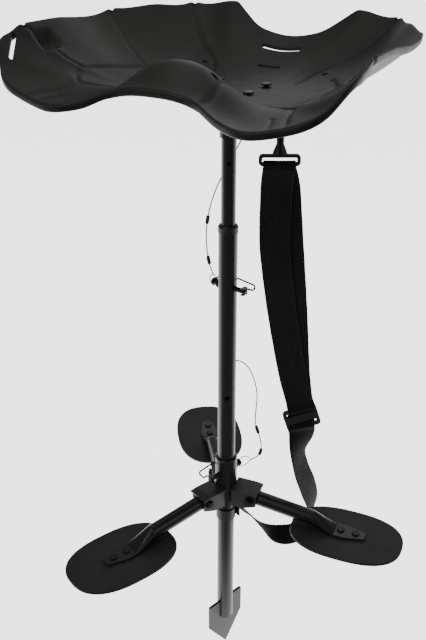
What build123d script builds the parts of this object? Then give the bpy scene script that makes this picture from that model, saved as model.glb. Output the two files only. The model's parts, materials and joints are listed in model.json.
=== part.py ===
from build123d import *
import math
import os

# Three leg stool: moulded bucket seat on a telescoping post with a ground spike, three hinged
# legs with foot pads, two bail pins on wire lanyards and a carrying strap.
# Frame: origin on the post axis at ground level (underside of the pads), +Z up, front faces -Y.

os.makedirs("parts", exist_ok=True)

# ---- driving dimensions (mm) ----
OUTER_R = 12.7            # outer tube, 25.4 outside diameter
OUTER_BORE = 11.1
OUTER_BOTTOM = -225.0
OUTER_TOP = 448.0
INNER_R = 9.525           # inner tube, 19.05 outside diameter
INNER_BORE = 8.0
PLATE = 3.0               # sheet metal thickness

PIN_R = 3.5
PIN_HOLE_R = 3.7
UPPER_PIN_Z = 370.0
LOWER_PIN_Z = 66.0
UPPER_PIN_AZ = -12.0      # direction of the pin's tip
LOWER_PIN_AZ = 253.0
BAIL_WIRE_R = 1.2
BAIL_HOLE_R = 1.26

SLEEVE_R = 16.0
SLEEVE_Z = (8.0, 92.0)

LEG_AZ = {"right": 6.0, "rear": 126.0, "left": 246.0}
PIVOT_RHO = 42.0
PIVOT_Z = 30.0
LEG_SLOPE = 7.0
LEG_R = 11.0
LEG_END_RHO = 216.0
PAD_RHO = 188.0
PAD_HALF = (82.0, 54.0)
PAD_POWER = 2.5
PAD_T = 4.0

SEAT_T = 5.0              # vertical thickness of the shell
SEAT_LIP = 10.0           # depth of the turned-down rim
SEAT_LIP_W = 5.0
PAN_Z = 630.0
SEAT_BOLTS = [(-32.0, -14.0), (32.0, -14.0), (-32.0, 36.0), (32.0, 36.0)]
BRACKET_TOP = 624.2
SOCKET_R = 11.8
SOCKET_BOTTOM = 573.0

CABLE_R = 0.9
FERRULE_R = 1.9
STRAP_W = 38.0
STRAP_AZ = 28.0           # direction of the strap's width
STRAP_HOOK = (84.0, -35.0)
SLIDER_AT = (95.0, 53.0, 158.0)
SLIDER_TILT = 18.0


def polar(az, rho, z=0.0):
    """A point at an azimuth in degrees, a distance from the post axis and a height."""
    a = math.radians(az)
    return Vector(rho * math.cos(a), rho * math.sin(a), z)


def radial_plane(az, z=0.0):
    """Vertical plane through the post axis: local x runs outwards, local y runs up."""
    a = math.radians(az)
    return Plane(origin=(0, 0, z), x_dir=(math.cos(a), math.sin(a), 0),
                 z_dir=(math.sin(a), -math.cos(a), 0))


def level_plane(az, z=0.0):
    """Horizontal plane at height z whose local x points along the azimuth."""
    a = math.radians(az)
    return Plane(origin=(0, 0, z), x_dir=(math.cos(a), math.sin(a), 0), z_dir=(0, 0, 1))


def finish(part, name):
    part.label = name
    export_step(part, f"parts/{name}.step")


# ---- post ----
with BuildPart() as outer_tube:
    with BuildSketch(Plane.XY.offset(OUTER_BOTTOM)):
        Circle(OUTER_R)
        Circle(OUTER_BORE, mode=Mode.SUBTRACT)
    extrude(amount=OUTER_TOP - OUTER_BOTTOM)
    for az, z in ((UPPER_PIN_AZ, UPPER_PIN_Z), (LOWER_PIN_AZ, LOWER_PIN_Z)):
        with BuildSketch(Plane(origin=(0, 0, z), z_dir=polar(az, 1))):
            Circle(PIN_HOLE_R)
        extrude(amount=20, both=True, mode=Mode.SUBTRACT)
    with BuildSketch(Plane(origin=(0, 0, 200), z_dir=polar(-62, 1))):
        Circle(PIN_HOLE_R)
    extrude(amount=20, mode=Mode.SUBTRACT)
finish(outer_tube.part, "outer_tube")

BUSHING_TOP = OUTER_TOP + 10
with BuildPart() as top_bushing:
    with BuildSketch(Plane.XZ):
        with BuildLine():
            Polyline((INNER_R + 0.08, OUTER_TOP - 16), (OUTER_BORE - 0.02, OUTER_TOP - 16),
                     (OUTER_BORE - 0.02, OUTER_TOP), (13.4, OUTER_TOP), (13.4, BUSHING_TOP - 2.5),
                     (11.6, BUSHING_TOP), (INNER_R + 0.08, BUSHING_TOP), close=True)
        make_face()
    revolve(axis=Axis.Z)
finish(top_bushing.part, "top_bushing")

BLADE_AZ = 72.0
with BuildPart() as ground_blade:
    with BuildSketch(radial_plane(BLADE_AZ)):
        with BuildLine():
            Polyline((-35, -192), (-35, -238), (0, -288), (35, -238), (35, -192), (OUTER_R, -192),
                     (OUTER_R, OUTER_BOTTOM), (-OUTER_R, OUTER_BOTTOM), (-OUTER_R, -192),
                     close=True)
        make_face()
    extrude(amount=2.2, both=True)
finish(ground_blade.part, "ground_blade")

with BuildPart() as spike_plug:
    with BuildSketch(Plane.XY.offset(OUTER_BOTTOM + 0.1)):
        Circle(OUTER_BORE)
    extrude(amount=12)
finish(spike_plug.part, "spike_plug")

# ---- hub ----
with BuildPart() as hub_sleeve:
    with BuildSketch(Plane.XY.offset(SLEEVE_Z[0])):
        Circle(SLEEVE_R)
        Circle(OUTER_R + 0.02, mode=Mode.SUBTRACT)
    extrude(amount=SLEEVE_Z[1] - SLEEVE_Z[0])
    with BuildSketch(Plane(origin=(0, 0, LOWER_PIN_Z), z_dir=polar(LOWER_PIN_AZ, 1))):
        Circle(PIN_HOLE_R)
    extrude(amount=30, both=True, mode=Mode.SUBTRACT)
    chamfer(hub_sleeve.edges().filter_by(GeomType.CIRCLE).group_by(Axis.Z)[-1], 0.8)
finish(hub_sleeve.part, "hub_sleeve")

CHEEK_IN = 11.6           # half the gap between a bracket's cheeks
CHEEK_TOP = PIVOT_Z + LEG_R + 0.6
PIVOT_R = 4.0
drop = math.tan(math.radians(LEG_SLOPE))
pivot_bolts = []
pivot_nuts = []
for side, az in LEG_AZ.items():
    plane = radial_plane(az)
    with BuildPart() as bracket:
        with BuildSketch(plane):
            with BuildLine():
                Polyline((14, 14), (32, 14), (52, 22), (52, CHEEK_TOP - 10 * drop), (42, CHEEK_TOP),
                         (14, CHEEK_TOP), close=True)
            make_face()
            with Locations((PIVOT_RHO, PIVOT_Z)):
                Circle(PIVOT_R + 0.02, mode=Mode.SUBTRACT)
        extrude(amount=CHEEK_IN + PLATE, both=True)
        with BuildSketch(plane):
            with Locations((44, 20)):
                Rectangle(50, 80)
        extrude(amount=CHEEK_IN, both=True, mode=Mode.SUBTRACT)
        with BuildSketch(plane):
            with BuildLine():
                Polyline((14, CHEEK_TOP), (42, CHEEK_TOP), (54, CHEEK_TOP - 12 * drop),
                         (54, CHEEK_TOP + PLATE - 12 * drop), (42, CHEEK_TOP + PLATE),
                         (14, CHEEK_TOP + PLATE), close=True)
            make_face()
        extrude(amount=CHEEK_IN + PLATE + 2.4, both=True)
        with BuildSketch(Plane.XY):
            Circle(SLEEVE_R)
        extrude(amount=100, mode=Mode.SUBTRACT)
    finish(bracket.part, f"hub_bracket_{side}")
    tangent = plane.z_dir
    head_at = plane.from_local_coords((PIVOT_RHO, PIVOT_Z, 0))
    with BuildPart() as bolt:
        with BuildSketch(Plane(origin=head_at, z_dir=tangent)):
            Circle(PIVOT_R)
        extrude(amount=CHEEK_IN + PLATE + 6.5, both=True)
        with BuildSketch(Plane(origin=head_at + tangent * (CHEEK_IN + PLATE), z_dir=tangent)):
            RegularPolygon(7.2, 6)
        extrude(amount=5)
    pivot_bolts.append(bolt.part)
    with BuildPart() as nut:
        with BuildSketch(Plane(origin=head_at - tangent * (CHEEK_IN + PLATE), z_dir=-tangent)):
            RegularPolygon(7.2, 6)
            Circle(PIVOT_R + 0.02, mode=Mode.SUBTRACT)
        extrude(amount=5.5)
    pivot_nuts.append(nut.part)
finish(Compound(children=pivot_bolts), "pivot_bolts")
finish(Compound(children=pivot_nuts), "pivot_nuts")

# ---- legs and foot pads ----
def pad_outline(steps=32):
    """Superellipse of the foot pad, centred PAD_RHO out along local x."""
    points = []
    for i in range(steps):
        t = 2 * math.pi * i / steps
        c = math.cos(t)
        s = math.sin(t)
        x = PAD_HALF[0] * math.copysign(abs(c) ** (2 / PAD_POWER), c)
        y = PAD_HALF[1] * math.copysign(abs(s) ** (2 / PAD_POWER), s)
        points.append((PAD_RHO + x, y))
    return points


FOOT_BOLTS = (180.0, 202.0)
for side, az in LEG_AZ.items():
    plane = radial_plane(az)
    slope = plane.rotated((0, 0, -LEG_SLOPE))
    axis_origin = plane.from_local_coords((PIVOT_RHO, PIVOT_Z, 0))
    along = (plane.x_dir * math.cos(math.radians(LEG_SLOPE))
             - Vector(0, 0, 1) * math.sin(math.radians(LEG_SLOPE)))
    tangent = plane.z_dir
    up = tangent.cross(along)
    with BuildPart() as leg:
        with BuildSketch(Plane(origin=axis_origin, x_dir=tangent, z_dir=along)):
            Circle(LEG_R)
        extrude(amount=96)
        with BuildSketch(Plane(origin=axis_origin + along * 96, x_dir=tangent, z_dir=along)):
            Circle(LEG_R)
        with BuildSketch(Plane(origin=plane.from_local_coords((172, PAD_T + 2.05, 0)),
                               x_dir=tangent, z_dir=plane.x_dir)):
            Ellipse(14.5, 2)
        loft()
        with BuildSketch(Plane(origin=(0, 0, PAD_T + 0.05), x_dir=plane.x_dir, z_dir=(0, 0, 1))):
            with BuildLine():
                FilletPolyline((171.5, -14.4), (186, -14.4), (LEG_END_RHO, -7), (LEG_END_RHO, 7),
                               (186, 14.4), (171.5, 14.4), radius=[12, 5, 5, 12])
                Line((171.5, 14.4), (171.5, -14.4))
            make_face()
        extrude(amount=4)
        with BuildSketch(Plane(origin=axis_origin, x_dir=along, z_dir=tangent)):
            Circle(LEG_R)
        extrude(amount=LEG_R, both=True)
        with BuildSketch(Plane(origin=axis_origin, x_dir=tangent, z_dir=along)):
            Circle(LEG_R - 1.6)
        extrude(amount=90, mode=Mode.SUBTRACT)
        with BuildSketch(Plane(origin=axis_origin, x_dir=along, z_dir=tangent)):
            Circle(LEG_R - 1.0)
        extrude(amount=LEG_R, both=True)
        with BuildSketch(Plane(origin=axis_origin, x_dir=along, z_dir=tangent)):
            Circle(PIVOT_R + 0.05)
        extrude(amount=30, both=True, mode=Mode.SUBTRACT)
        with BuildSketch(level_plane(az)):
            with Locations(*[(r, 0) for r in FOOT_BOLTS]):
                Circle(3.05)
        extrude(amount=30, mode=Mode.SUBTRACT)
    finish(leg.part, f"leg_tube_{side}")

    with BuildPart() as pad:
        with BuildSketch(level_plane(az)):
            with BuildLine():
                Spline(*pad_outline(), periodic=True)
            make_face()
            with Locations(*[(r, 0) for r in FOOT_BOLTS]):
                Circle(3.05, mode=Mode.SUBTRACT)
        extrude(amount=PAD_T)
        fillet(pad.edges().filter_by(GeomType.BSPLINE).group_by(Axis.Z)[-1], 1.5)
    finish(pad.part, f"foot_pad_{side}")

    screws = []
    nuts = []
    for rho in FOOT_BOLTS:
        at = polar(az, rho, PAD_T + 4.1)
        with BuildPart() as screw:
            with BuildSketch(Plane(origin=polar(az, rho, 0.4))):
                Circle(3.0)
            extrude(amount=PAD_T + 5.8)
        screws.append(screw.part)
        with BuildPart() as dome:
            with BuildSketch(Plane(origin=at)):
                Circle(5.4)
                Circle(3.02, mode=Mode.SUBTRACT)
            extrude(amount=2.4)
            fillet(dome.edges().group_by(Axis.Z)[-1].sort_by(SortBy.RADIUS)[-1], 1.2)
        nuts.append(dome.part)
    finish(Compound(children=screws), f"foot_screws_{side}")
    finish(Compound(children=nuts), f"foot_nuts_{side}")


# ---- bail pins ----
def make_pin(name, az, z, support):
    """Cross pin with a spool head; local x runs towards the tip, support is the tube's radius."""
    pivot = -(support + 6.2)
    with BuildPart() as pin:
        with BuildSketch(radial_plane(az, z)):
            with BuildLine():
                Polyline((-(support + 13), 0), (-(support + 13), 4.5), (-(support + 12), 5.5),
                         (-(support + 9.5), 5.5), (-(support + 9.5), 4.5),
                         (-(support + 2.8), 4.5), (-(support + 2.8), 6.5),
                         (-(support + 0.6), 6.5), (-(support + 0.6), PIN_R),
                         (support + 17, PIN_R), (support + 18.5, 2.0), (support + 18.5, 0),
                         close=True)
            make_face()
        revolve(axis=Axis(origin=(0, 0, z), direction=polar(az, 1)))
        with BuildSketch(level_plane(az, z)):
            with Locations((pivot, 0)):
                Circle(BAIL_HOLE_R)
        extrude(amount=20, both=True, mode=Mode.SUBTRACT)
        with BuildSketch(radial_plane(az, z)):
            with Locations((-(support + 10.9), 0)):
                Circle(1.0)
        extrude(amount=20, both=True, mode=Mode.SUBTRACT)
    finish(pin.part, name)


def make_bail(name, az, z, support, side):
    """Wire bail hinged in the pin's head, round the tube on one side, ending in a snap clip."""
    plane = level_plane(az, z)
    pivot = -(support + 6.2)
    off = support + 4.5
    route = [(pivot, 0, -4), (pivot, 0, 7.5), (pivot + 5, off * side, 7.5),
             (support + 22, off * side, 4), (support + 22, 10 * side, 0),
             (support + 14, 10 * side, 0), (support + 14, 5.6 * side, 0)]
    points = [plane.from_local_coords(p) for p in route]
    with BuildPart() as bail:
        with BuildLine():
            FilletPolyline(*points, radius=[2.2, 5, 5, 3, 2])
        with BuildSketch(Plane(origin=points[0], z_dir=(0, 0, 1))):
            Circle(BAIL_WIRE_R)
        sweep()
    finish(bail.part, name)
    with BuildPart() as clip:
        with BuildSketch(Plane(origin=plane.from_local_coords((support + 11.5, 0, 0)),
                               x_dir=plane.y_dir, z_dir=plane.x_dir)):
            with Locations((1.0 * side, 0)):
                Rectangle(9.2, 10.2)
            with Locations((0.0, 0)):
                Rectangle(8.0, 7.7, mode=Mode.SUBTRACT)
        extrude(amount=5)
        with BuildSketch(Plane(origin=plane.from_local_coords((support + 11, 0, 0)),
                               x_dir=plane.y_dir, z_dir=plane.x_dir)):
            with Locations((-3.6 * side, 0)):
                Rectangle(3.0, 7.7)
        extrude(amount=6, mode=Mode.SUBTRACT)
    finish(clip.part, name + "_clip")


make_pin("upper_pin", UPPER_PIN_AZ, UPPER_PIN_Z, OUTER_R)
make_pin("lower_pin", LOWER_PIN_AZ, LOWER_PIN_Z, SLEEVE_R)
make_bail("upper_bail", UPPER_PIN_AZ, UPPER_PIN_Z, OUTER_R, 1)
make_bail("lower_bail", LOWER_PIN_AZ, LOWER_PIN_Z, SLEEVE_R, -1)

# ---- seat post ----
GLIDE_Z = UPPER_PIN_Z + PIN_R + 0.1
with BuildPart() as inner_glide:
    with BuildSketch(Plane.XY.offset(GLIDE_Z)):
        Circle(OUTER_BORE - 0.08)
    extrude(amount=6)
    with BuildSketch(Plane.XY.offset(GLIDE_Z + 6)):
        Circle(INNER_BORE)
    extrude(amount=10)
finish(inner_glide.part, "inner_glide")

INNER_BOTTOM = GLIDE_Z + 6
INNER_TOP = BRACKET_TOP - PLATE
with BuildPart() as inner_tube:
    with BuildSketch(Plane.XY.offset(INNER_BOTTOM)):
        Circle(INNER_R)
        Circle(INNER_BORE, mode=Mode.SUBTRACT)
    extrude(amount=INNER_TOP - INNER_BOTTOM)
    with BuildSketch(Plane(origin=(0, 0, 541), z_dir=polar(-62, 1))):
        Circle(2.6)
    extrude(amount=20, mode=Mode.SUBTRACT)
finish(inner_tube.part, "inner_tube")

with BuildPart() as seat_socket:
    with BuildSketch(Plane.XY.offset(SOCKET_BOTTOM)):
        Circle(SOCKET_R)
        Circle(INNER_R, mode=Mode.SUBTRACT)
    extrude(amount=INNER_TOP - SOCKET_BOTTOM)
    for az in (45, 135, 225, 315):
        with BuildSketch(radial_plane(az)):
            with BuildLine():
                Polyline((SOCKET_R - 1, INNER_TOP - 22), (SOCKET_R - 1, INNER_TOP),
                         (SOCKET_R + 20, INNER_TOP), (SOCKET_R + 20, INNER_TOP - 4), close=True)
            make_face()
        extrude(amount=1.5, both=True)
finish(seat_socket.part, "seat_socket")

with BuildPart() as seat_bracket:
    with BuildSketch(Plane.XY.offset(INNER_TOP)):
        with Locations((0, 11)):
            RectangleRounded(90, 76, 8)
        with Locations(*SEAT_BOLTS):
            Circle(3.3, mode=Mode.SUBTRACT)
    extrude(amount=PLATE)
finish(seat_bracket.part, "seat_bracket")


# ---- seat shell ----
# Rim of the seat's right half, from the middle of the back round to the middle of the front:
# plan position and height. Across the back dip it is the height that the wall would reach.
SEAT_RIM = [(0, 222, 703), (87, 193, 703), (147, 182, 702), (180, 124, 703), (210, 66, 703),
            (212, -40, 705), (211, -111, 706), (214, -134, 702), (210, -162, 692),
            (193, -176, 669), (171, -187, 655), (142, -197, 646), (115, -197, 642),
            (84, -190, 645), (55, -181, 652), (0, -181, 653)]
SEAT_CENTRE_Y = -10.0


def hermite(knots, values, at):
    """Smooth curve through values at ascending knots, level at both ends."""
    i = 0
    while i < len(knots) - 2 and at > knots[i + 1]:
        i += 1
    slopes = []
    for k in (i, i + 1):
        if 0 < k < len(knots) - 1:
            slopes.append((values[k + 1] - values[k - 1]) / (knots[k + 1] - knots[k - 1]))
        else:
            slopes.append(0.0)
    h = knots[i + 1] - knots[i]
    t = (at - knots[i]) / h
    return ((2 * t ** 3 - 3 * t ** 2 + 1) * values[i] + (t ** 3 - 2 * t ** 2 + t) * h * slopes[0]
            + (3 * t ** 2 - 2 * t ** 3) * values[i + 1] + (t ** 3 - t ** 2) * h * slopes[1])


RIM_ANGLES = [math.atan2(x, y - SEAT_CENTRE_Y) for x, y, z in SEAT_RIM]
RIM_RADII = [math.hypot(x, y - SEAT_CENTRE_Y) for x, y, z in SEAT_RIM]
RIM_HEIGHTS = [z for x, y, z in SEAT_RIM]


def seat_height(x, y):
    """Height of the seat's upper surface: flat pan, walls curving up to the rim, front pommel."""
    angle = math.atan2(abs(x), y - SEAT_CENTRE_Y)
    share = math.hypot(x, y - SEAT_CENTRE_Y) / hermite(RIM_ANGLES, RIM_RADII, angle)
    rim = hermite(RIM_ANGLES, RIM_HEIGHTS, angle)
    if share > 1:
        rise = 1 + 2.0 * (share - 1)
    else:
        rise = (max(0.0, share - 0.3) / 0.7) ** 2.1
    reach = 60 if y < -112 else 50
    pommel = 42 * math.exp(-(abs(x) / 64) ** 2.4 - ((y + 112) / reach) ** 2)
    thigh = 9 * math.exp(-(abs(x) / 165) ** 6 - ((y + 122) / 42) ** 2)
    return PAN_Z + (rim - PAN_Z) * rise + pommel + thigh


SEAT_CORNERS = [(46, 178, 50), (86, 195, 12), (149, 182, 16), (211, 66, 36), (214, -158, 34),
                (184, -191, 40), (110, -202, 60), (48, -178, 60)]


def seat_outline(inset):
    """Closed outline of the seat in plan, moved inwards by an inset."""
    right = [(x, y) for x, y, r in SEAT_CORNERS]
    left = [(-x, y) for x, y, r in reversed(SEAT_CORNERS)]
    radii = [r for x, y, r in SEAT_CORNERS]
    with BuildSketch(Plane.XY.offset(540)) as sketch:
        with BuildLine():
            FilletPolyline(*(right + left), radius=radii + radii[::-1], close=True)
        make_face()
        if inset:
            offset(amount=-inset, mode=Mode.REPLACE)
    return sketch.sketch


GRID_X = [-240 + 24 * i for i in range(21)]
GRID_Y = [-220 + 22 * i for i in range(21)]
surface = Face.make_surface_from_array_of_points(
    [[Vector(x, y, seat_height(x, y)) for y in GRID_Y] for x in GRID_X])
seat_layer = Solid.extrude(surface, Vector(0, 0, -SEAT_T))
lip_layer = Solid.extrude(surface, Vector(0, 0, -SEAT_LIP))
SLOTS = [(0, 152, 58, 0, 7), (0, 112, 32, 0, 6), (202, -146, 34, 62, 4.4),
         (-202, -146, 34, -62, 4.4), (99, -94, 20, -39, 5), (-99, -94, 20, 39, 5)]
HOLES = [(42, -116), (-42, -116)]
with BuildPart() as seat_shell:
    add(seat_outline(0))
    extrude(amount=260)
    add(seat_layer, mode=Mode.INTERSECT)
    with BuildSketch(Plane.XY.offset(540)):
        for x, y, length, turn, wide in SLOTS:
            with Locations(Location((x, y), turn)):
                SlotOverall(length, wide)
        with Locations(*HOLES):
            Circle(4)
        with Locations(*SEAT_BOLTS):
            Circle(3.3)
    extrude(amount=260, mode=Mode.SUBTRACT)
with BuildPart() as seat_lip:
    add(seat_outline(0) - seat_outline(SEAT_LIP_W))
    extrude(amount=260)
    add(lip_layer, mode=Mode.INTERSECT)
seat = seat_shell.part + seat_lip.part
finish(seat, "seat_shell")

bolts = []
nuts = []
for x, y in SEAT_BOLTS:
    with BuildPart() as bolt:
        with BuildSketch(Plane(origin=(x, y, INNER_TOP - 8))):
            Circle(3)
        extrude(amount=PAN_Z + 2.5 - INNER_TOP + 8)
        with BuildSketch(Plane(origin=(x, y, PAN_Z + 2.5))):
            Circle(6.5)
        extrude(amount=1.8)
        fillet(bolt.edges().group_by(Axis.Z)[-1], 1.2)
    bolts.append(bolt.part)
    with BuildPart() as nut:
        with BuildSketch(Plane(origin=(x, y, INNER_TOP), z_dir=(0, 0, -1))):
            RegularPolygon(6, 6)
            Circle(3.02, mode=Mode.SUBTRACT)
        extrude(amount=5)
    nuts.append(nut.part)
finish(Compound(children=bolts), "seat_bolts")
finish(Compound(children=nuts), "seat_nuts")


# ---- lanyards ----
def make_cable(name, points, radii_scale=0.45):
    """Round cable along straight runs joined by arcs as large as the runs allow."""
    path = [Vector(*p) for p in points]
    radii = []
    for before, here, after in zip(path, path[1:], path[2:]):
        turn = (here - before).get_angle(after - here)
        run = min((here - before).length, (after - here).length)
        radii.append(radii_scale * run / math.tan(math.radians(turn / 2)))
    print(name, "radii", [round(r, 1) for r in radii])
    with BuildPart() as cable:
        with BuildLine() as line:
            FilletPolyline(*path, radius=radii)
        with BuildSketch(Plane(origin=path[0], z_dir=path[1] - path[0])):
            Circle(CABLE_R)
        sweep()
    wire_length = line.wires()[0].length
    print(name, "length", round(wire_length, 1), "volume ratio",
          round(cable.part.volume / (wire_length * math.pi * CABLE_R ** 2), 4))
    finish(cable.part, name)


def make_ferrules(name, pairs):
    """Crimped sleeves on a cable; the cable runs through their bore."""
    sleeves = []
    for start, end in pairs:
        a = Vector(*start)
        b = Vector(*end)
        with BuildPart() as sleeve:
            with BuildSketch(Plane(origin=a, z_dir=b - a)):
                Circle(FERRULE_R)
                Circle(CABLE_R + 0.15, mode=Mode.SUBTRACT)
            extrude(amount=(b - a).length)
        sleeves.append(sleeve.part)
    finish(Compound(children=sleeves), name)


UPPER_ROUTE = [(16, 28, 584), (9, 24, 570), (-1, 19, 549), (-12, 14, 525), (-22, 8, 501),
               (-30, 4, 473), (-34, 2, 442), (-33, 3, 412), (-29, 5, 388), (-25.5, 7, 379)]
LOWER_ROUTE = [(3, 14.5, 249), (10, 23, 246), (19, 30, 235), (27, 34, 214), (32, 36, 187),
               (30, 35, 160), (29, 35, 138), (36, 38, 116), (39.5, 39.5, 95), (36, 38.5, 78),
               (24, 33.5, 71)]
make_cable("upper_lanyard", UPPER_ROUTE)
make_cable("lower_lanyard", LOWER_ROUTE)


def between(a, b, t):
    return tuple(p + (q - p) * t for p, q in zip(a, b))


make_ferrules("upper_ferrules", [(between(UPPER_ROUTE[5], UPPER_ROUTE[6], 0.3),
                                  between(UPPER_ROUTE[5], UPPER_ROUTE[6], 0.7)),
                                 (between(UPPER_ROUTE[7], UPPER_ROUTE[8], 0.25),
                                  between(UPPER_ROUTE[7], UPPER_ROUTE[8], 0.75))])
make_ferrules("lower_ferrules", [(between(LOWER_ROUTE[6], LOWER_ROUTE[7], 0.25),
                                  between(LOWER_ROUTE[6], LOWER_ROUTE[7], 0.75)),
                                 (between(LOWER_ROUTE[8], LOWER_ROUTE[9], 0.25),
                                  between(LOWER_ROUTE[8], LOWER_ROUTE[9], 0.75))])

with BuildPart() as lanyard_rivet:
    out = Vector(3, 14.5, 0).normalized()
    with BuildSketch(Plane(origin=out * (OUTER_R + 0.02) + Vector(0, 0, 249), z_dir=out)):
        Circle(3.2)
    extrude(amount=1.6)
finish(lanyard_rivet.part, "lanyard_rivet")

with BuildPart() as lanyard_tab:
    with BuildSketch(Plane(origin=(0, 0, 590), x_dir=(1, 0, 0))):
        with Locations((15, 27)):
            Circle(6)
        with Locations((11, 18)):
            Rectangle(10, 18)
        Circle(SOCKET_R + 0.02, mode=Mode.SUBTRACT)
    extrude(amount=2)
finish(lanyard_tab.part, "lanyard_tab")

# ---- carrying strap ----
width_dir = polar(STRAP_AZ, 1)
hook_x, hook_y = STRAP_HOOK
with BuildPart() as strap_anchor:
    with BuildSketch(Plane(origin=(hook_x, hook_y, 622), x_dir=width_dir)):
        RectangleRounded(30, 16, 3)
    extrude(amount=2.4)
    for sign in (-1, 1):
        with BuildSketch(Plane(origin=Vector(hook_x, hook_y, 604.5) + width_dir * (sign * 8),
                               x_dir=width_dir)):
            Rectangle(3, 8)
        extrude(amount=18)
    with BuildSketch(Plane(origin=Vector(hook_x, hook_y, 608) - width_dir * 8, z_dir=width_dir)):
        Circle(2)
    extrude(amount=16)
finish(strap_anchor.part, "strap_anchor")

EYE_R = 8.5
EYE_Z = 602.5
with BuildPart() as strap_hook:
    eye_plane = Plane(origin=(hook_x, hook_y, EYE_Z), x_dir=width_dir.cross(Vector(0, 0, 1)),
                      z_dir=width_dir)
    with BuildSketch(eye_plane):
        Circle(EYE_R + 2.2)
        Circle(EYE_R - 1.0, mode=Mode.SUBTRACT)
    extrude(amount=2.2, both=True)
    with BuildSketch(Plane(origin=(hook_x, hook_y, 0), x_dir=width_dir, z_dir=width_dir.cross(
            Vector(0, 0, 1)))):
        with BuildLine():
            Polyline((0, 572.2), (8.5, 572.2), (8.5, 574), (4.5, 584), (4.5, 593), (0, 593),
                     close=True)
        make_face()
    revolve(axis=Axis(origin=(hook_x, hook_y, 0), direction=(0, 0, 1)))
finish(strap_hook.part, "strap_hook")

with BuildPart() as strap_loop:
    with BuildSketch(Plane(origin=(hook_x, hook_y, 565), x_dir=width_dir,
                           z_dir=width_dir.cross(Vector(0, 0, 1)))):
        RectangleRounded(49, 14.2, 5)
        RectangleRounded(41, 6.2, 2, mode=Mode.SUBTRACT)
    extrude(amount=2, both=True)
finish(strap_loop.part, "strap_loop")


def make_ribbon(name, stations, thickness):
    """Flat webbing lofted through stations of (x, y, z, azimuth of its width)."""
    path = [Vector(*s[:3]) for s in stations]
    with BuildPart() as ribbon:
        for i, (x, y, z, az) in enumerate(stations):
            ahead = path[min(i + 1, len(path) - 1)]
            behind = path[max(i - 1, 0)]
            across = polar(az, 1)
            tangent = (ahead - behind).normalized()
            tangent = (tangent - across * tangent.dot(across)).normalized()
            with BuildSketch(Plane(origin=path[i], x_dir=across, z_dir=tangent)):
                Rectangle(STRAP_W, thickness)
        loft(ruled=True)
    finish(ribbon.part, name)


UPPER_STRAP = [(84, -35, 557, 28), (83, -27, 526, 28), (81, -14, 457, 28), (82, -2, 400, 28),
               (83, 16, 330, 28), (87, 36, 240, 28), (92, 49, 188, 28)]
LOWER_STRAP = [(95.5, 56, 129, 34), (91, 61, 85, 80), (94, 69, 52, 82), (101, 83, 13, 80),
               (104, 101, -32, 92), (95, 112, -77, 106), (74, 115, -112, 118),
               (52, 103, -118, 130), (35, 84, -104, 142), (25, 62, -72, 152),
               (19, 43, -41, 154), (7.6, 17.6, -10, 156)]
make_ribbon("strap_upper", UPPER_STRAP, 3.6)
make_ribbon("strap_lower", LOWER_STRAP, 1.8)

with BuildPart() as strap_slider:
    tilted = width_dir + Vector(0, 0, math.tan(math.radians(SLIDER_TILT)))
    with BuildSketch(Plane(origin=SLIDER_AT, x_dir=tilted,
                           z_dir=width_dir.cross(Vector(0, 0, 1)))):
        RectangleRounded(50, 34, 5)
        with Locations((0, 9), (0, -9)):
            RectangleRounded(40, 6, 2, mode=Mode.SUBTRACT)
    extrude(amount=2.4, both=True)
finish(strap_slider.part, "strap_slider")

CLAMP_AZ = 66.0
with BuildPart() as strap_clamp:
    with BuildSketch(Plane.XY.offset(-20)):
        Circle(OUTER_R + 2.0)
        Circle(OUTER_R + 0.02, mode=Mode.SUBTRACT)
    extrude(amount=18)
    with BuildSketch(Plane(origin=polar(CLAMP_AZ, OUTER_R + 1.2, -11), z_dir=polar(CLAMP_AZ, 1),
                           x_dir=polar(CLAMP_AZ - 90, 1))):
        Rectangle(30, 18)
    extrude(amount=1.6)
    with BuildSketch(Plane.XY.offset(-20)):
        Circle(OUTER_R + 0.02)
    extrude(amount=18, mode=Mode.SUBTRACT)
finish(strap_clamp.part, "strap_clamp")
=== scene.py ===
import json
import math

import bmesh
import bpy
import numpy as np
from mathutils import Matrix, Vector


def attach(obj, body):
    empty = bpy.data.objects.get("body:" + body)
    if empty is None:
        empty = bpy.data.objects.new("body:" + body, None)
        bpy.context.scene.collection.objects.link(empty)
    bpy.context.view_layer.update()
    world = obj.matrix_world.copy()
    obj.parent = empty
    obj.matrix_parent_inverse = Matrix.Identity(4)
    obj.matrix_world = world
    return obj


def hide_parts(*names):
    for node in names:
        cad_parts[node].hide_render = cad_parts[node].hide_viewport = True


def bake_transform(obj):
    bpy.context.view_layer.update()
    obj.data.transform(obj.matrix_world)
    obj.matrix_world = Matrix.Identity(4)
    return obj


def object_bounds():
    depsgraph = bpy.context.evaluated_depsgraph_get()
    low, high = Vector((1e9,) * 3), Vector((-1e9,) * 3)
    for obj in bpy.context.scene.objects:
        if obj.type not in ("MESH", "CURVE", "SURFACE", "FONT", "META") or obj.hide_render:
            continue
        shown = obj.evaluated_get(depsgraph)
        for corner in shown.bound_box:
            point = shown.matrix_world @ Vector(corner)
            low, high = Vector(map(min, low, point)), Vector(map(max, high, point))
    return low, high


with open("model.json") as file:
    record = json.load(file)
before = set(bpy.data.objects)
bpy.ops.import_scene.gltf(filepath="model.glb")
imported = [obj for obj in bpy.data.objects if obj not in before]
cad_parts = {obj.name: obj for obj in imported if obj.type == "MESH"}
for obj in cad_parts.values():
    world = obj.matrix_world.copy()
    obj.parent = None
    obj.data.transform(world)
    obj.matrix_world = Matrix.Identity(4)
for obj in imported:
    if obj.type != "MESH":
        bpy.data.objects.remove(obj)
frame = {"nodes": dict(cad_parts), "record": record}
cad_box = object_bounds()
nodes = frame["nodes"]
MM = 0.001


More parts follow.
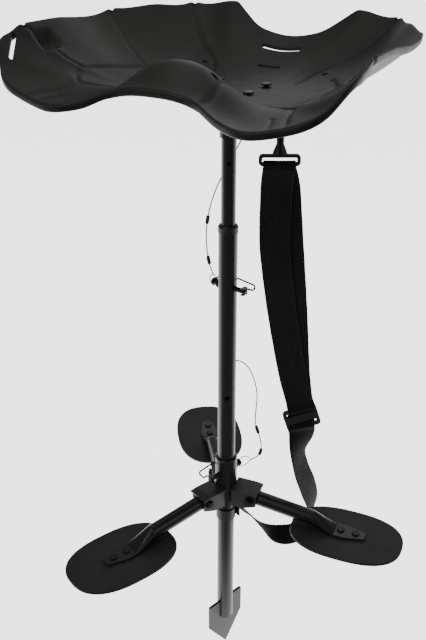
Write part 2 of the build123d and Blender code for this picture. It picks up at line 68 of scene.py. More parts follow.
# ---------------------------------------------------------------- materials
class Nodes:
    """Small helper that adds and links shader nodes in one material."""

    def __init__(self, name):
        self.mat = bpy.data.materials.new(name)
        self.mat.use_nodes = True
        self.tree = self.mat.node_tree
        self.bsdf = self.tree.nodes["Principled BSDF"]

    def add(self, kind, **settings):
        node = self.tree.nodes.new(kind)
        for key, value in settings.items():
            if key in node.inputs:
                node.inputs[key].default_value = value
            else:
                setattr(node, key, value)
        return node

    def link(self, a, out, b, inp):
        self.tree.links.new(a.outputs[out], b.inputs[inp])

    def coords(self, source="Object"):
        """Texture coordinates, from a node whose output is called Vector."""
        tex = self.add("ShaderNodeTexCoord")
        mapping = self.add("ShaderNodeMapping")
        self.link(tex, source, mapping, "Vector")
        return mapping

    def noise(self, where, scale, detail=4.0, rough=0.55):
        node = self.add("ShaderNodeTexNoise", Scale=scale, Detail=detail, Roughness=rough)
        self.link(where, "Vector", node, "Vector")
        return node

    def ramp(self, source, out, low, high, a=(0, 0, 0), b=(1, 1, 1)):
        node = self.add("ShaderNodeValToRGB")
        node.color_ramp.elements[0].position = low
        node.color_ramp.elements[1].position = high
        node.color_ramp.elements[0].color = (*a, 1)
        node.color_ramp.elements[1].color = (*b, 1)
        self.link(source, out, node, "Fac")
        return node

    def rubbed_edges(self, colour, rubbed, low, high, strength):
        """Base colour that turns to the rubbed one where the surface is sharply convex."""
        edge = self.add("ShaderNodeNewGeometry")
        worn = self.ramp(edge, "Pointiness", low, high)
        share = self.add("ShaderNodeMath", operation="MULTIPLY")
        share.inputs[1].default_value = strength
        self.link(worn, "Color", share, 0)
        mix = self.add("ShaderNodeMix", data_type="RGBA")
        mix.inputs["B"].default_value = (*rubbed, 1)
        self.link(share, "Value", mix, "Factor")
        self.link(colour, "Color", mix, "A")
        self.link(mix, "Result", self.bsdf, "Base Color")

    def uneven_roughness(self, patches, rough):
        """Roughness between two values, following a noise node."""
        span = self.add("ShaderNodeMapRange")
        span.inputs["To Min"].default_value = rough[0]
        span.inputs["To Max"].default_value = rough[1]
        self.link(patches, "Fac", span, "Value")
        self.link(span, "Result", self.bsdf, "Roughness")

    def bump(self, layers):
        """Chains (node, output, strength, distance) layers into the shader's normal."""
        last = None
        for node, out, strength, distance in layers:
            bump = self.add("ShaderNodeBump", Strength=strength, Distance=distance)
            self.link(node, out, bump, "Height")
            if last:
                self.link(last, "Normal", bump, "Normal")
            last = bump
        self.link(last, "Normal", self.bsdf, "Normal")


def moulded_plastic(name, dark, light, rough=(0.42, 0.6), grain=1500.0, specular=0.5):
    """Fine-grained moulded plastic with mottled colour, rubbed edges and uneven shine."""
    m = Nodes(name)
    where = m.coords()
    mottled = m.noise(where, 14.0, 5.0)
    colour = m.ramp(mottled, "Fac", 0.35, 0.7, dark, light)
    rubbed = [min(1.0, 2.6 * c + 0.004) for c in light]
    m.rubbed_edges(colour, rubbed, 0.52, 0.6, strength=0.25)
    m.uneven_roughness(m.noise(where, 30.0, 6.0, 0.6), rough)
    pebbles = m.add("ShaderNodeTexVoronoi", Scale=grain)
    m.link(where, "Vector", pebbles, "Vector")
    waves = m.noise(where, 60.0, 3.0)
    m.bump([(pebbles, "Distance", 0.5, 0.00006), (waves, "Fac", 0.25, 0.0003)])
    m.bsdf.inputs["Specular IOR Level"].default_value = specular
    return m.mat


def powder_coat(name, dark, light, rough=(0.26, 0.4), coat=0.0, metal=0.0):
    """Satin powder coat: faint orange peel, dust mottling and rubbed lighter edges."""
    m = Nodes(name)
    where = m.coords()
    dust = m.noise(where, 40.0, 6.0)
    colour = m.ramp(dust, "Fac", 0.4, 0.75, dark, light)
    rubbed = [min(1.0, 3.0 * c + 0.006) for c in light]
    m.rubbed_edges(colour, rubbed, 0.53, 0.62, strength=0.3)
    m.uneven_roughness(m.noise(where, 18.0, 5.0), rough)
    peel = m.noise(where, 420.0, 2.0)
    m.bump([(peel, "Fac", 0.22, 0.0002)])
    m.bsdf.inputs["Coat Weight"].default_value = coat
    m.bsdf.inputs["Coat Roughness"].default_value = 0.2
    m.bsdf.inputs["Metallic"].default_value = metal
    m.bsdf.inputs["Specular IOR Level"].default_value = 0.3
    return m.mat


def woven_webbing(name):
    """Ribbed polypropylene webbing; the weave follows the strap's own UV, in metres."""
    m = Nodes(name)
    where = m.coords("UV")
    ribs = m.add("ShaderNodeTexWave", Scale=170.0, Distortion=0.4, bands_direction="Y")
    m.link(where, "Vector", ribs, "Vector")
    cords = m.add("ShaderNodeTexWave", Scale=110.0, Distortion=0.3, bands_direction="X")
    m.link(where, "Vector", cords, "Vector")
    both = m.add("ShaderNodeMath", operation="MULTIPLY")
    m.link(ribs, "Fac", both, 0)
    m.link(cords, "Fac", both, 1)
    fuzz = m.noise(where, 900.0, 3.0)
    colour = m.ramp(both, "Value", 0.05, 0.9, (0.003, 0.003, 0.0031), (0.012, 0.012, 0.0125))
    m.link(colour, "Color", m.bsdf, "Base Color")
    m.bsdf.inputs["Roughness"].default_value = 0.82
    m.bsdf.inputs["Sheen Weight"].default_value = 0.06
    m.bsdf.inputs["Sheen Roughness"].default_value = 0.45
    m.bsdf.inputs["Specular IOR Level"].default_value = 0.2
    m.bump([(both, "Value", 0.9, 0.0004), (fuzz, "Fac", 0.3, 0.0001)])
    return m.mat


def wire_rope(name):
    """Galvanised wire mottled with grime; its strands are in the mesh."""
    m = Nodes(name)
    where = m.coords()
    grime = m.noise(where, 300.0, 4.0)
    colour = m.ramp(grime, "Fac", 0.35, 0.7, (0.05, 0.05, 0.052), (0.15, 0.15, 0.155))
    m.link(colour, "Color", m.bsdf, "Base Color")
    m.bsdf.inputs["Metallic"].default_value = 0.5
    m.bsdf.inputs["Roughness"].default_value = 0.38
    m.bump([(grime, "Fac", 0.3, 0.0001)])
    return m.mat


SEAT = moulded_plastic("seat_plastic", (0.0065, 0.0065, 0.0045), (0.011, 0.011, 0.0078),
                       specular=0.28)
PAD = moulded_plastic("pad_grey", (0.016, 0.016, 0.018), (0.024, 0.024, 0.027),
                      rough=(0.5, 0.66), grain=1100.0, specular=0.3)
PLASTIC = moulded_plastic("black_plastic", (0.010, 0.010, 0.010), (0.016, 0.016, 0.016))
TUBE = powder_coat("tube_black", (0.008, 0.008, 0.009), (0.013, 0.013, 0.014), coat=0.08)
HUB = powder_coat("hub_black", (0.010, 0.010, 0.0095), (0.016, 0.016, 0.015), rough=(0.34, 0.5))
FASTENER = powder_coat("fastener_black", (0.012, 0.012, 0.012), (0.024, 0.024, 0.024),
                       rough=(0.25, 0.42), metal=0.5)
PIN = powder_coat("pin_black", (0.006, 0.006, 0.006), (0.012, 0.012, 0.012), rough=(0.24, 0.4))
WEBBING = woven_webbing("webbing")
WIRE = wire_rope("cable_steel")
FERRULE = moulded_plastic("ferrule_black", (0.006, 0.006, 0.006), (0.011, 0.011, 0.011),
                          grain=2500.0)

SLOT_MATERIAL = {"seat_plastic": SEAT, "pad_grey": PAD, "black_plastic": PLASTIC,
                 "tube_black": TUBE, "hub_black": HUB, "fastener_black": FASTENER,
                 "pin_black": PIN, "webbing": WEBBING, "cable_steel": WIRE,
                 "ferrule_black": FERRULE}
for part in frame["record"]["subparts"]:
    shown = nodes[part["node"]]
    shown.data.materials.clear()
    shown.data.materials.append(SLOT_MATERIAL[part["material_slot"]])


# ---------------------------------------------------------------- mesh helpers
STEPS_A_SPAN = 24         # fine points between two points of a smooth path


def new_mesh(name, vertices, faces, material, smooth=True):
    mesh = bpy.data.meshes.new(name)
    mesh.from_pydata([tuple(v) for v in vertices], [], faces)
    mesh.validate()
    mesh.update()
    if smooth:
        mesh.polygons.foreach_set("use_smooth", [True] * len(mesh.polygons))
    obj = bpy.data.objects.new(name, mesh)
    bpy.context.scene.collection.objects.link(obj)
    mesh.materials.append(material)
    return obj


def run_along(points):
    """Distance along a polyline at each of its points."""
    return np.r_[0, np.cumsum(np.linalg.norm(np.diff(points, axis=0), axis=1))]


def read_at(points, run, at):
    """Places on a polyline at given distances along it."""
    return np.stack([np.interp(at, run, points[:, k]) for k in range(points.shape[1])], axis=1)


def ring_quads(rings, around):
    """Faces between rings of vertices that follow each other."""
    faces = []
    for k in range(rings - 1):
        for i in range(around):
            j = (i + 1) % around
            a = k * around
            faces.append((a + i, a + j, a + around + j, a + around + i))
    return faces


def closed_tube(rings, around):
    """Faces of a tube made of rings of vertices, with its two ends closed."""
    first = tuple(range(around))
    last = tuple(range((rings - 1) * around, rings * around))
    return ring_quads(rings, around) + [first[::-1], last]


def smooth_path(points, spacing):
    """Catmull-Rom curve through the points, evenly spaced; columns past x, y, z go along."""
    pts = np.array(points, float)
    ext = np.vstack([2 * pts[0] - pts[1], pts, 2 * pts[-1] - pts[-2]])
    fine = []
    for i in range(1, len(ext) - 2):
        p0, p1, p2, p3 = ext[i - 1:i + 3]
        for t in np.linspace(0, 1, STEPS_A_SPAN, endpoint=False):
            fine.append(0.5 * (2 * p1 + (p2 - p0) * t + (2 * p0 - 5 * p1 + 4 * p2 - p3) * t ** 2
                               + (3 * p1 - p0 - 3 * p2 + p3) * t ** 3))
    fine.append(ext[-2])
    fine = np.array(fine)
    run = run_along(fine[:, :3])
    count = max(2, int(round(run[-1] / spacing)) + 1)
    return read_at(fine, run, np.linspace(0, run[-1], count))


# ---------------------------------------------------------------- seat shell
# the rim of the right half, from the back to the front: x, y and height
SEAT_RIM = [(0, 222, 703), (87, 193, 703), (147, 182, 702), (180, 124, 703), (210, 66, 703),
            (212, -40, 705), (211, -111, 706), (214, -134, 702), (210, -162, 692),
            (193, -176, 669), (171, -187, 655), (142, -197, 646), (115, -197, 642),
            (84, -190, 645), (55, -181, 652), (0, -181, 653)]
SEAT_CENTRE_Y = -10.0     # angles round the rim are measured about this place on the y axis
# corners of the outline's right half: x, y and radius
SEAT_CORNERS = [(46, 178, 50), (86, 195, 12), (149, 182, 16), (211, 66, 36), (214, -158, 34),
                (184, -191, 40), (110, -202, 60), (48, -178, 60)]
RIM_NOTCHES = [(148, 182), (211, 66), (212, -112)]
PAN_Z = 630.0
SHELL = 4.2
FLAT_SHARE = 0.3          # the pan is level out to this share of the way to the rim
RIM_BEND = 2.1            # how late the wall rises: a higher power is flatter in the middle
POMMEL_Y = -112
POMMEL_HEIGHT = 42
POMMEL_HALF = 64
THIGH_Y = -122
THIGH_HEIGHT = 9
THIGH_HALF = 165
POCKET_AT = (193, -94)
POCKET_HALF = (9, 15)
POCKET_DEPTH = 11
GROOVE_DEEPER = 1.35      # the grooves are cut this much deeper than listed, to show
TOP_INSET = 4.2           # the upper skin ends this far in from the outline
UNDER_INSET = 5.0
NOTCH_DEPTH = 3.2
NOTCH_HALF = 3.4
NOTCH_REACH = 4           # the notches show on the rings closer than this to the outline
SEAT_AROUND = 560
UPPER_RINGS = 100
UNDER_RINGS = 36
RING_CENTRE = (0.0, 8.0)  # the mesh's rings close in on this point
# each slot: x and y of its middle, length, turn in degrees and width
SEAT_SLOTS = [(0, 152, 58, 0, 7), (0, 112, 32, 0, 6), (202, -146, 34, 62, 4.4),
              (-202, -146, 34, -62, 4.4), (99, -94, 20, -39, 5), (-99, -94, 20, 39, 5)]
# each oval hole: x, y and its two radii
SEAT_HOLES = [(42, -116, 5.2, 3.6), (-42, -116, 5.2, 3.6), (84, 95, 4.5, 3.0),
              (-84, 95, 4.5, 3.0)]
# each groove: points in plan for the right half, depth and half width
GROOVES = [([(50, -62), (78, -74), (104, -92), (124, -113), (134, -119)], 1.7, 2.6),
           ([(134, -119), (146, -104), (149, -72), (141, -30), (128, 20), (106, 64)], 1.7, 2.6),
           ([(54, -186), (57, -160), (54, -134), (48, -108), (50, -80), (50, -62)], 1.5, 2.6),
           ([(149, 182), (130, 158), (104, 130), (72, 98), (60, 60)], 1.2, 2.4),
           ([(211, 60), (188, 50), (150, 30), (128, 20)], 1.2, 2.4),
           ([(211, -112), (190, -98), (168, -92), (149, -80)], 1.6, 2.6),
           ([(134, -119), (140, -150), (150, -176), (154, -196)], 1.3, 2.6),
           ([(124, -150), (132, -176), (134, -198)], 0.9, 2.0)]


def hermite(knots, values, at):
    """Smooth curve through values at ascending knots, level at both ends."""
    knots = np.array(knots, float)
    values = np.array(values, float)
    slope = np.zeros(len(knots))
    slope[1:-1] = (values[2:] - values[:-2]) / (knots[2:] - knots[:-2])
    i = np.clip(np.searchsorted(knots, at) - 1, 0, len(knots) - 2)
    h = knots[i + 1] - knots[i]
    t = (at - knots[i]) / h
    return ((2 * t ** 3 - 3 * t ** 2 + 1) * values[i] + (t ** 3 - 2 * t ** 2 + t) * h * slope[i]
            + (3 * t ** 2 - 2 * t ** 3) * values[i + 1] + (t ** 3 - t ** 2) * h * slope[i + 1])


RIM_ANGLES = [math.atan2(x, y - SEAT_CENTRE_Y) for x, y, z in SEAT_RIM]
RIM_RADII = [math.hypot(x, y - SEAT_CENTRE_Y) for x, y, z in SEAT_RIM]
RIM_HEIGHTS = [z for x, y, z in SEAT_RIM]


def seat_height(x, y):
    """Height of the seat's upper surface in millimetres, as in the CAD part."""
    angle = np.arctan2(np.abs(x), y - SEAT_CENTRE_Y)
    share = np.hypot(x, y - SEAT_CENTRE_Y) / hermite(RIM_ANGLES, RIM_RADII, angle)
    rim = hermite(RIM_ANGLES, RIM_HEIGHTS, angle)
    wall = 1 - FLAT_SHARE
    rise = np.where(share > 1, 1 + 2.0 * (share - 1),
                    (np.clip(share - FLAT_SHARE, 0, wall) / wall) ** RIM_BEND)
    reach = np.where(y < POMMEL_Y, 60, 50)
    pommel = POMMEL_HEIGHT * np.exp(-(np.abs(x) / POMMEL_HALF) ** 2.4
                                    - ((y - POMMEL_Y) / reach) ** 2)
    thigh = THIGH_HEIGHT * np.exp(-(np.abs(x) / THIGH_HALF) ** 6 - ((y - THIGH_Y) / 42) ** 2)
    return PAN_Z + (rim - PAN_Z) * rise + pommel + thigh


def side_pocket(x, y):
    """Finger pocket pressed into each side wall beside the front rim notch."""
    across = (np.abs(x) - POCKET_AT[0]) / POCKET_HALF[0]
    along = (y - POCKET_AT[1]) / POCKET_HALF[1]
    return -POCKET_DEPTH * np.exp(-across ** 4 - along ** 4)


def groove_relief(x, y):
    """Depth of the moulded panel lines at a point of the upper surface."""
    depth = np.zeros_like(x)
    ax = np.abs(x)
    for points, deep, half in GROOVES:
        line = smooth_path(points, 6.0)
        nearest = np.full_like(x, 1e9)
        for a, b in zip(line[:-1], line[1:]):
            d = b - a
            t = np.clip(((ax - a[0]) * d[0] + (y - a[1]) * d[1]) / (d @ d), 0, 1)
            nearest = np.minimum(nearest, np.hypot(ax - a[0] - t * d[0], y - a[1] - t * d[1]))
        depth = np.maximum(depth, GROOVE_DEEPER * deep * np.exp(-(nearest / half) ** 2))
    return depth


def rounded_outline(corners, count):
    """Closed outline in plan, mirrored, with round corners and evenly spaced points."""
    steps = 12
    loop = list(corners) + [(-x, y, r) for x, y, r in reversed(corners)]
    dense = []
    for i, (x, y, r) in enumerate(loop):
        here = np.array((x, y), float)
        to_last = np.array(loop[i - 1][:2], float) - here
        to_next = np.array(loop[(i + 1) % len(loop)][:2], float) - here
        a = to_last / np.linalg.norm(to_last)
        b = to_next / np.linalg.norm(to_next)
        half = math.acos(np.clip(a @ b, -1, 1)) / 2
        centre = here + (a + b) / np.linalg.norm(a + b) * r / math.sin(half)
        start = here + a * r / math.tan(half) - centre
        stop = here + b * r / math.tan(half) - centre
        t0 = math.atan2(start[1], start[0])
        sweep = math.atan2(start[0] * stop[1] - start[1] * stop[0], start @ stop)
        for k in range(steps + 1):
            t = t0 + sweep * k / steps
            dense.append(centre + r * np.array((math.cos(t), math.sin(t))))
    dense.append(dense[0])
    dense = np.array(dense)
    run = run_along(dense)
    return read_at(dense, run, np.linspace(0, run[-1], count, endpoint=False))


def seat_mesh():
    """Closed shell: grooved upper skin, rolled rim with notches, lip and plain underside."""
    around = SEAT_AROUND
    edge = rounded_outline(SEAT_CORNERS, around)
    ahead = np.roll(edge, -1, axis=0) - np.roll(edge, 1, axis=0)
    normal = np.stack([-ahead[:, 1], ahead[:, 0]], axis=1)
    normal /= np.linalg.norm(normal, axis=1)[:, None]
    centre = np.array(RING_CENTRE)
    inward = np.sign(((centre - edge) * normal).sum(1))[:, None]
    normal *= inward
    notch = np.zeros(around)
    for nx, ny in RIM_NOTCHES:
        gap = np.hypot(np.abs(edge[:, 0]) - nx, edge[:, 1] - ny)
        notch = np.maximum(notch, NOTCH_DEPTH * np.exp(-(gap / NOTCH_HALF) ** 2))

    def ring(inset, dz, share=1.0, relief=False):
        at = edge + normal * (inset + notch * (inset < NOTCH_REACH))[:, None]
        at = centre + (at - centre) * share
        z = seat_height(at[:, 0], at[:, 1]) + side_pocket(at[:, 0], at[:, 1]) + dz
        if relief:
            z -= groove_relief(at[:, 0], at[:, 1])
        return np.column_stack([at, z])

    rings = []
    for share in np.linspace(0.02, 1, UPPER_RINGS) ** 0.9:
        rings.append(ring(TOP_INSET, 0, share, relief=True))
    for inset, dz in ((3.0, 0.0), (1.9, -0.2), (0.9, -0.7), (0.25, -1.6), (0, -2.8), (0, -5.2),
                      (0.15, -7.4), (0.6, -8.6), (1.5, -9.2), (2.5, -8.9), (3.0, -8.0),
                      (3.1, -6.2), (3.6, -5.0), (UNDER_INSET, -SHELL)):
        rings.append(ring(inset, dz))
    for share in np.linspace(0.985, 0.02, UNDER_RINGS):
        rings.append(ring(UNDER_INSET, -SHELL, share))
    points = np.vstack(rings + [[[*centre, rings[0][:, 2].mean()]],
                                [[*centre, rings[-1][:, 2].mean()]]]) * MM
    faces = ring_quads(len(rings), around)
    top = len(rings) * around
    last = (len(rings) - 1) * around
    for i in range(around):
        j = (i + 1) % around
        faces.append((top, j, i))
        faces.append((top + 1, last + i, last + j))
    seat = new_mesh("seat_shell_moulded", points, faces, SEAT)
    mesh = bmesh.new()
    mesh.from_mesh(seat.data)
    bmesh.ops.recalc_face_normals(mesh, faces=mesh.faces)
    mesh.to_mesh(seat.data)
    mesh.free()
    return seat


CUT_SPAN = (0.55, 0.75)   # heights in metres that the cutting prisms run between
CUT_STEPS = 24            # points round each cut


def prism(mesh, outline):
    """Adds an upright prism with that outline, taller than the seat, to a bmesh."""
    low, high = CUT_SPAN
    bottom = [mesh.verts.new((x, y, low)) for x, y in outline]
    top = [mesh.verts.new((x, y, high)) for x, y in outline]
    mesh.faces.new(bottom[::-1])
    mesh.faces.new(top)
    for i in range(len(outline)):
        j = (i + 1) % len(outline)
        mesh.faces.new((bottom[i], bottom[j], top[j], top[i]))


def cut_seat_openings(seat):
    """Cuts the slots and the oval holes through the shell."""
    cutter = bmesh.new()
    for x, y, length, turn, wide in SEAT_SLOTS:
        a = math.radians(turn)
        outline = []
        for k in range(CUT_STEPS):
            t = 2 * math.pi * k / CUT_STEPS
            u = wide / 2 * math.cos(t) + math.copysign((length - wide) / 2, math.cos(t))
            v = wide / 2 * math.sin(t)
            outline.append(((x + u * math.cos(a) - v * math.sin(a)) * MM,
                            (y + u * math.sin(a) + v * math.cos(a)) * MM))
        prism(cutter, outline)
    for x, y, long_r, short_r in SEAT_HOLES:
        turns = [2 * math.pi * k / CUT_STEPS for k in range(CUT_STEPS)]
        outline = [((x + long_r * math.cos(t)) * MM, (y + short_r * math.sin(t)) * MM)
                   for t in turns]
        prism(cutter, outline)
    mesh = bpy.data.meshes.new("cutter")
    cutter.to_mesh(mesh)
    cutter.free()
    tool = bpy.data.objects.new("cutter", mesh)
    bpy.context.scene.collection.objects.link(tool)
    cut = seat.modifiers.new("cut", "BOOLEAN")
    cut.object = tool
    cut.operation = "DIFFERENCE"
    cut.solver = "EXACT"
    done = bpy.data.meshes.new_from_object(
        seat.evaluated_get(bpy.context.evaluated_depsgraph_get()))
    seat.modifiers.clear()
    seat.data = done
    bpy.data.objects.remove(tool)


seat = seat_mesh()
cut_seat_openings(seat)
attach(seat, "seat_post")
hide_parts("seat_shell")

# ---------------------------------------------------------------- wire lanyards
UPPER_ROUTE = [(16, 28, 584), (9, 24, 570), (-1, 19, 549), (-12, 14, 525), (-22, 8, 501),
               (-30, 4, 473), (-34, 2, 442), (-33, 3, 412), (-29, 5, 388), (-25.5, 7, 379)]
LOWER_ROUTE = [(3, 14.5, 249), (10, 23, 246), (19, 30, 235), (27, 34, 214), (32, 36, 187),
               (30, 35, 160), (29, 35, 138), (36, 38, 116), (39.5, 39.5, 95), (36, 38.5, 78),
               (24, 33.5, 71)]
WIRE_R = 0.9
WIRE_STEP = 0.0006        # metres between the rings of a wire
END_LOOP_R = 0.65


def route_points(route):
    """Points along the smooth curve that has the route as its control points, in metres."""
    data = bpy.data.curves.new("route", "CURVE")
    data.dimensions = "3D"
    spline = data.splines.new("NURBS")
    spline.points.add(len(route) - 1)
    for point, at in zip(spline.points, route):
        point.co = (*[c * MM for c in at], 1)
    spline.order_u = 3
    spline.use_endpoint_u = True
    spline.resolution_u = 12
    helper = bpy.data.objects.new("route", data)
    bpy.context.scene.collection.objects.link(helper)
    mesh = bpy.data.meshes.new_from_object(
        helper.evaluated_get(bpy.context.evaluated_depsgraph_get()))
    points = np.array([tuple(v.co) for v in mesh.vertices])
    bpy.data.objects.remove(helper)
    bpy.data.meshes.remove(mesh)
    return points


def resample(points, spacing):
    """The same polyline with its points evenly spaced, and its length."""
    run = run_along(points)
    at = np.linspace(0, run[-1], int(round(run[-1] / spacing)) + 1)
    return read_at(points, run, at), run[-1]


def frames_along(points):
    """Two directions across a line at each point, turning as little as possible."""
    tangent = np.gradient(points, axis=0)
    tangent /= np.linalg.norm(tangent, axis=1)[:, None]
    side = np.cross(tangent[0], (0.31, 0.2, 0.93))
    side /= np.linalg.norm(side)
    sides = []
    for t in tangent:
        side = side - t * (side @ t)
        side /= np.linalg.norm(side)
        sides.append(side)
    sides = np.array(sides)
    return sides, np.cross(tangent, sides)


def sleeve(name, points, radii, material, around=24):
    """Tube along the points. Each point has one radius, or one for each of its vertices."""
    side, other = frames_along(points)
    turn = np.linspace(0, 2 * math.pi, around, endpoint=False)
    vertices = []
    for k in range(len(points)):
        vertices.extend(points[k] + np.outer(radii[k] * np.cos(turn), side[k])
                        + np.outer(radii[k] * np.sin(turn), other[k]))
    return new_mesh(name, vertices, closed_tube(len(points), around), material)


def stranded_wire(name, points, radius, lay=0.0075, strands=6, around=30):
    """Tube along the points whose surface shows twisted strands."""
    turn = np.linspace(0, 2 * math.pi, around, endpoint=False)
    radii = []
    for along in run_along(points):
        bulge = np.abs(np.cos(strands / 2 * (turn - 2 * math.pi * along / lay)))
        radii.append(radius * (0.8 + 0.2 * bulge))
    return sleeve(name, points, radii, WIRE, around)


def ferrule(name, line, route, k, low, high):
    """Sleeve over the wire, from one share to another of the route's run after point k.

    It is rounded at its ends and has two pressed rings.
    """
    a, b = (np.array(route[i], float) * MM for i in (k, k + 1))
    first, last = (int(np.argmin(np.linalg.norm(line - (a + (b - a) * share), axis=1)))
                   for share in (low, high))
    points = line[first:last + 1]
    along = np.linspace(0, 1, len(points))
    ends = np.sqrt(np.clip(1 - np.abs(2 * along - 1) ** 6, 0, 1))
    pressed = 0.12 * (np.exp(-((along - 0.32) / 0.05) ** 2) + np.exp(-((along - 0.68) / 0.05) ** 2))
    return sleeve(name, points, (1.1 + 1.5 * ends * (1 - pressed)) * MM, FERRULE)


# end loops of the wires, closed round the necks of the two pins; each ferrule has the number
# of its route's point and two shares of the run after it
LOOPS = {"upper": [(-25.5, 7, 379), (-29, 6, 377), (-29, 4, 371), (-24.5, 3, 366.5),
                   (-20, 4, 368), (-19.5, 5.5, 373), (-22.5, 7, 377), (-25.2, 7.2, 379)],
         "lower": [(24, 33.5, 71), (19, 32.5, 76), (11, 28, 74), (6, 23, 68), (7, 22.5, 62.5),
                   (13, 25, 61), (20, 30, 65), (23.8, 33.2, 70.2)]}
FERRULES = {"upper": [(5, 0.3, 0.7), (7, 0.25, 0.75)], "lower": [(6, 0.2, 0.8), (8, 0.15, 0.85)]}

for end, route in (("upper", UPPER_ROUTE), ("lower", LOWER_ROUTE)):
    line, length = resample(route_points(route), WIRE_STEP)
    wire = stranded_wire(end + "_lanyard_wire", line, WIRE_R * MM)
    if end == "upper":
        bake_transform(wire)
    else:
        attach(wire, "post")
    pieces = [ferrule(f"{end}_ferrule_{n}", line, route, *spot)
              for n, spot in enumerate(FERRULES[end])]
    eye, _ = resample(smooth_path(LOOPS[end], 0.6) * MM, WIRE_STEP)
    pieces.append(sleeve(end + "_end_loop", eye, np.full(len(eye), END_LOOP_R * MM), WIRE, around=14))
    for piece in pieces:
        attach(piece, "post")
    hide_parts(end + "_ferrules")
    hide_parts(end + "_lanyard")

# ---------------------------------------------------------------- carrying strap
STRAP_W = 38.0
STRAP_AZ = 28             # the webbing's width lies along this azimuth, down to the slider
WEBBING_DEPTH = 1.3       # its thickness in the middle; the section's heights are shares of it
BAND_STEP = 2.0
SLIDER_Z = 158.0
SLIDER_TILT = math.radians(18)
SLIDER_REACH = 26         # how far up and down the webbing still shows the slider's tilt
# The strap leaves the slider, goes up behind, round the hook's loop, down in front, through the
# slider and on to the clamp. LINE runs midway between its two layers, from the slider up. FAN
# has, for each point of LINE, how far a layer stands from it: sideways, and out or in.
FAN = [(0, 5.2), (0, 4.2), (0, 2.6), (3, 1.6), (7, 1.6), (8.5, 1.6), (8.5, 1.6), (5, 1.6),
       (1, 1.6)]
LINE = [(94.5, 52.5, 162), (93.5, 51, 176), (92, 49, 188), (87, 36, 240), (83, 16, 330),
        (82, -2, 400), (81, -14, 457), (83, -27, 526), (84, -35, 553)]
ACROSS = np.array((math.cos(math.radians(STRAP_AZ)), math.sin(math.radians(STRAP_AZ)), 0))
OUT = np.array((math.sin(math.radians(STRAP_AZ)), -math.cos(math.radians(STRAP_AZ)), 0))
behind = [tuple(np.array(at) + ACROSS * fan - OUT * w) for at, (fan, w) in zip(LINE, FAN)]
front = [tuple(np.array(at) - ACROSS * fan + OUT * w) for at, (fan, w) in zip(LINE, FAN)][2:]
at_loop = [tuple(np.array((84, -35, z)) + OUT * w) for w, z in
           ((-2.3, 557), (-3.2, 560.5), (0, 564), (3.2, 560.5), (2.3, 557))]
through = [tuple(np.array((95, 53, SLIDER_Z)) + OUT * w + np.array((0, 0, dz))) for w, dz in
           ((3.8, 15), (0, 9), (-3.6, 0), (0, -9), (3.8, -15))]
# below the slider: the route, the azimuth of the webbing's width and its lean, in degrees
LOWER = [(95.5, 56, 129), (91, 61, 85), (94, 69, 52), (101, 83, 13),
         (104, 101, -32), (95, 112, -77), (74, 115, -112), (52, 103, -118),
         (35, 84, -104), (25, 62, -72), (19, 43, -41), (7.6, 17.6, -10)]
LOWER_TURN = [34, 80, 82, 80, 92, 106, 118, 130, 142, 152, 154, 156]
LOWER_LEAN = [0, 0, 0, 4, 8, 13, 16, 16, 14, 8, 3, 0]


def strap_mesh():
    """The webbing as one long band with thicker edges and its UV in metres, and its length."""
    stations = behind + at_loop + front[::-1] + through + LOWER
    level = len(stations) - len(LOWER)
    turns = [STRAP_AZ] * level + LOWER_TURN
    leans = [0] * level + LOWER_LEAN
    line = smooth_path([(*at, turn, lean) for at, turn, lean in zip(stations, turns, leans)],
                       BAND_STEP)
    points = line[:, :3]
    tangent = np.gradient(points, axis=0)
    tangent /= np.linalg.norm(tangent, axis=1)[:, None]
    turn = np.radians(line[:, 3])
    lean = np.radians(line[:, 4])
    across = np.stack([np.cos(turn) * np.cos(lean), np.sin(turn) * np.cos(lean), np.sin(lean)],
                      axis=1)
    across -= tangent * (across * tangent).sum(1)[:, None]
    across /= np.linalg.norm(across, axis=1)[:, None]
    normal = np.cross(tangent, across)
    run = run_along(points)
    section = [(-1, 0), (-0.985, 0.42), (-0.93, 0.62), (-0.6, 0.52), (-0.2, 0.5), (0.2, 0.5),
               (0.6, 0.52), (0.93, 0.62), (0.985, 0.42), (1, 0), (0.985, -0.42), (0.93, -0.62),
               (0.6, -0.52), (0.2, -0.5), (-0.2, -0.5), (-0.6, -0.52), (-0.93, -0.62),
               (-0.985, -0.42)]
    n = len(section)
    vertices = []
    for k in range(len(points)):
        wavy = 1 + 0.004 * math.sin(run[k] / 7.0)
        skew = math.tan(SLIDER_TILT) * math.exp(-((points[k][2] - SLIDER_Z) / SLIDER_REACH) ** 2)
        for u, v in section:
            vertices.append((points[k] + across[k] * u * STRAP_W / 2 * wavy
                             + np.array((0, 0, skew * u * STRAP_W / 2))
                             + normal[k] * v * WEBBING_DEPTH) * MM)
    band = new_mesh("carrying_strap", vertices, closed_tube(len(points), n), WEBBING)
    layer = band.data.uv_layers.new(name="weave")
    for loop in band.data.loops:
        k, i = divmod(loop.vertex_index, n)
        layer.data[loop.index].uv = (section[i][0] * STRAP_W / 2 * MM, run[k] * MM)
    return band, run[-1] * MM


strap, strap_length = strap_mesh()
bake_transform(strap)
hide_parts("strap_upper", "strap_lower")

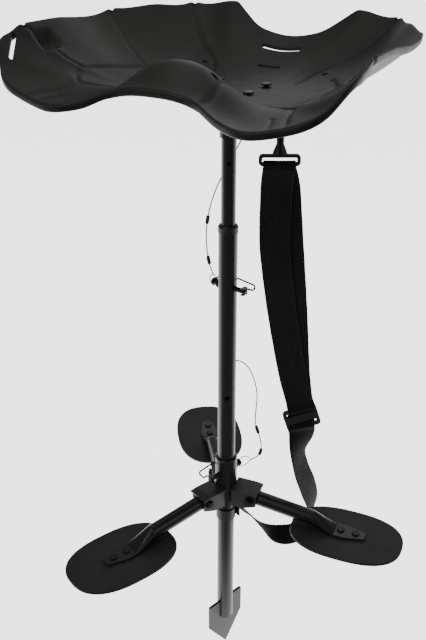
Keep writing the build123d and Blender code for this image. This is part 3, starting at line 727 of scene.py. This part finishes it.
# ---------------------------------------------------------------- camera, light and floor
CAMERA_AZ = math.radians(28)
CAMERA_PITCH = math.radians(27.56)
CAMERA_PLACE = (-0.01966, -1.0523, 0.868)      # across, away from the viewer and up
SENSOR = 36
FOCAL_SHARE = 871 / 640   # focal length as a share of the frame's long side
camera_data = bpy.data.cameras.new("camera")
camera_data.lens = FOCAL_SHARE * SENSOR
camera_data.sensor_width = SENSOR
camera_data.clip_start = 0.05
camera_data.clip_end = 40
camera = bpy.data.objects.new("camera", camera_data)
bpy.context.scene.collection.objects.link(camera)
bpy.context.scene.camera = camera
forward = Vector((-math.sin(CAMERA_AZ) * math.cos(CAMERA_PITCH),
                  math.cos(CAMERA_AZ) * math.cos(CAMERA_PITCH), -math.sin(CAMERA_PITCH)))
right = Vector((math.cos(CAMERA_AZ), math.sin(CAMERA_AZ), 0))
up = right.cross(forward)
turned = Matrix((right, up, -forward)).transposed().to_4x4()
away = Vector((-math.sin(CAMERA_AZ), math.cos(CAMERA_AZ), 0))


def place(across, depth, height):
    """A place given across the view, away from the viewer and up."""
    return right * across + away * depth + Vector((0, 0, height))


camera.matrix_world = Matrix.Translation(place(*CAMERA_PLACE)) @ turned


def area_light(name, at, towards, size, power):
    data = bpy.data.lights.new(name, "AREA")
    data.shape = "RECTANGLE"
    data.size, data.size_y = size
    data.energy = power
    light = bpy.data.objects.new(name, data)
    bpy.context.scene.collection.objects.link(light)
    light.location = at
    light.rotation_mode = "QUATERNION"
    light.rotation_quaternion = (Vector(towards) - Vector(at)).to_track_quat("-Z", "Y")


area_light("key", place(-1.5, -1.6, 1.9), (0, 0, 0.4), (0.5, 2.2), 22)
area_light("fill", place(1.9, -1.2, 1.4), (0, 0, 0.4), (1.4, 1.4), 7)
area_light("top", place(0.1, 0.3, 2.4), (0, 0, 0.5), (1.8, 1.8), 10)
area_light("rim", place(0.6, 1.9, 1.5), (0, 0, 0.5), (1.6, 1.0), 6)

world = bpy.data.worlds.new("world")
world.use_nodes = True
world.node_tree.nodes["Background"].inputs["Color"].default_value = (1, 1, 1, 1)
world.node_tree.nodes["Background"].inputs["Strength"].default_value = 0.22
bpy.context.scene.world = world

FLOOR_Z = cad_box[0].z - 0.001
FLOOR_HALF = 12
FLOOR_SHADES = (0.05, 0.95)
FADE_SPAN = (-0.3, 0.0)   # the fade's two ends, in metres from the origin, away from the viewer
FLOOR_GLOW = 2.8
floor_maker = Nodes("floor")
floor_maker.bsdf.inputs["Roughness"].default_value = 0.9
# The floor glows behind the part and fades to near dark in front of it, so that it doesn't
# light the part's front from below. The fade's direction is fixed: the way this camera faces.
floor_place = floor_maker.add("ShaderNodeTexCoord")
floor_depth = floor_maker.add("ShaderNodeVectorMath", operation="DOT_PRODUCT")
floor_depth.inputs[1].default_value = away
floor_maker.link(floor_place, "Object", floor_depth, 0)
floor_fade = floor_maker.add("ShaderNodeMapRange", interpolation_type="SMOOTHSTEP")
floor_fade.inputs["From Min"].default_value = FADE_SPAN[0]
floor_fade.inputs["From Max"].default_value = FADE_SPAN[1]
floor_fade.inputs["To Min"].default_value = FLOOR_SHADES[0]
floor_fade.inputs["To Max"].default_value = FLOOR_SHADES[1]
floor_maker.link(floor_depth, "Value", floor_fade, "Value")
floor_maker.link(floor_fade, "Result", floor_maker.bsdf, "Base Color")
floor_maker.link(floor_fade, "Result", floor_maker.bsdf, "Emission Color")
floor_maker.bsdf.inputs["Emission Strength"].default_value = FLOOR_GLOW
floor_corners = [(x * FLOOR_HALF, y * FLOOR_HALF, FLOOR_Z) for x, y in
                 ((-1, -1), (1, -1), (1, 1), (-1, 1))]
floor = new_mesh("floor", floor_corners, [(0, 1, 2, 3)], floor_maker.mat, smooth=False)
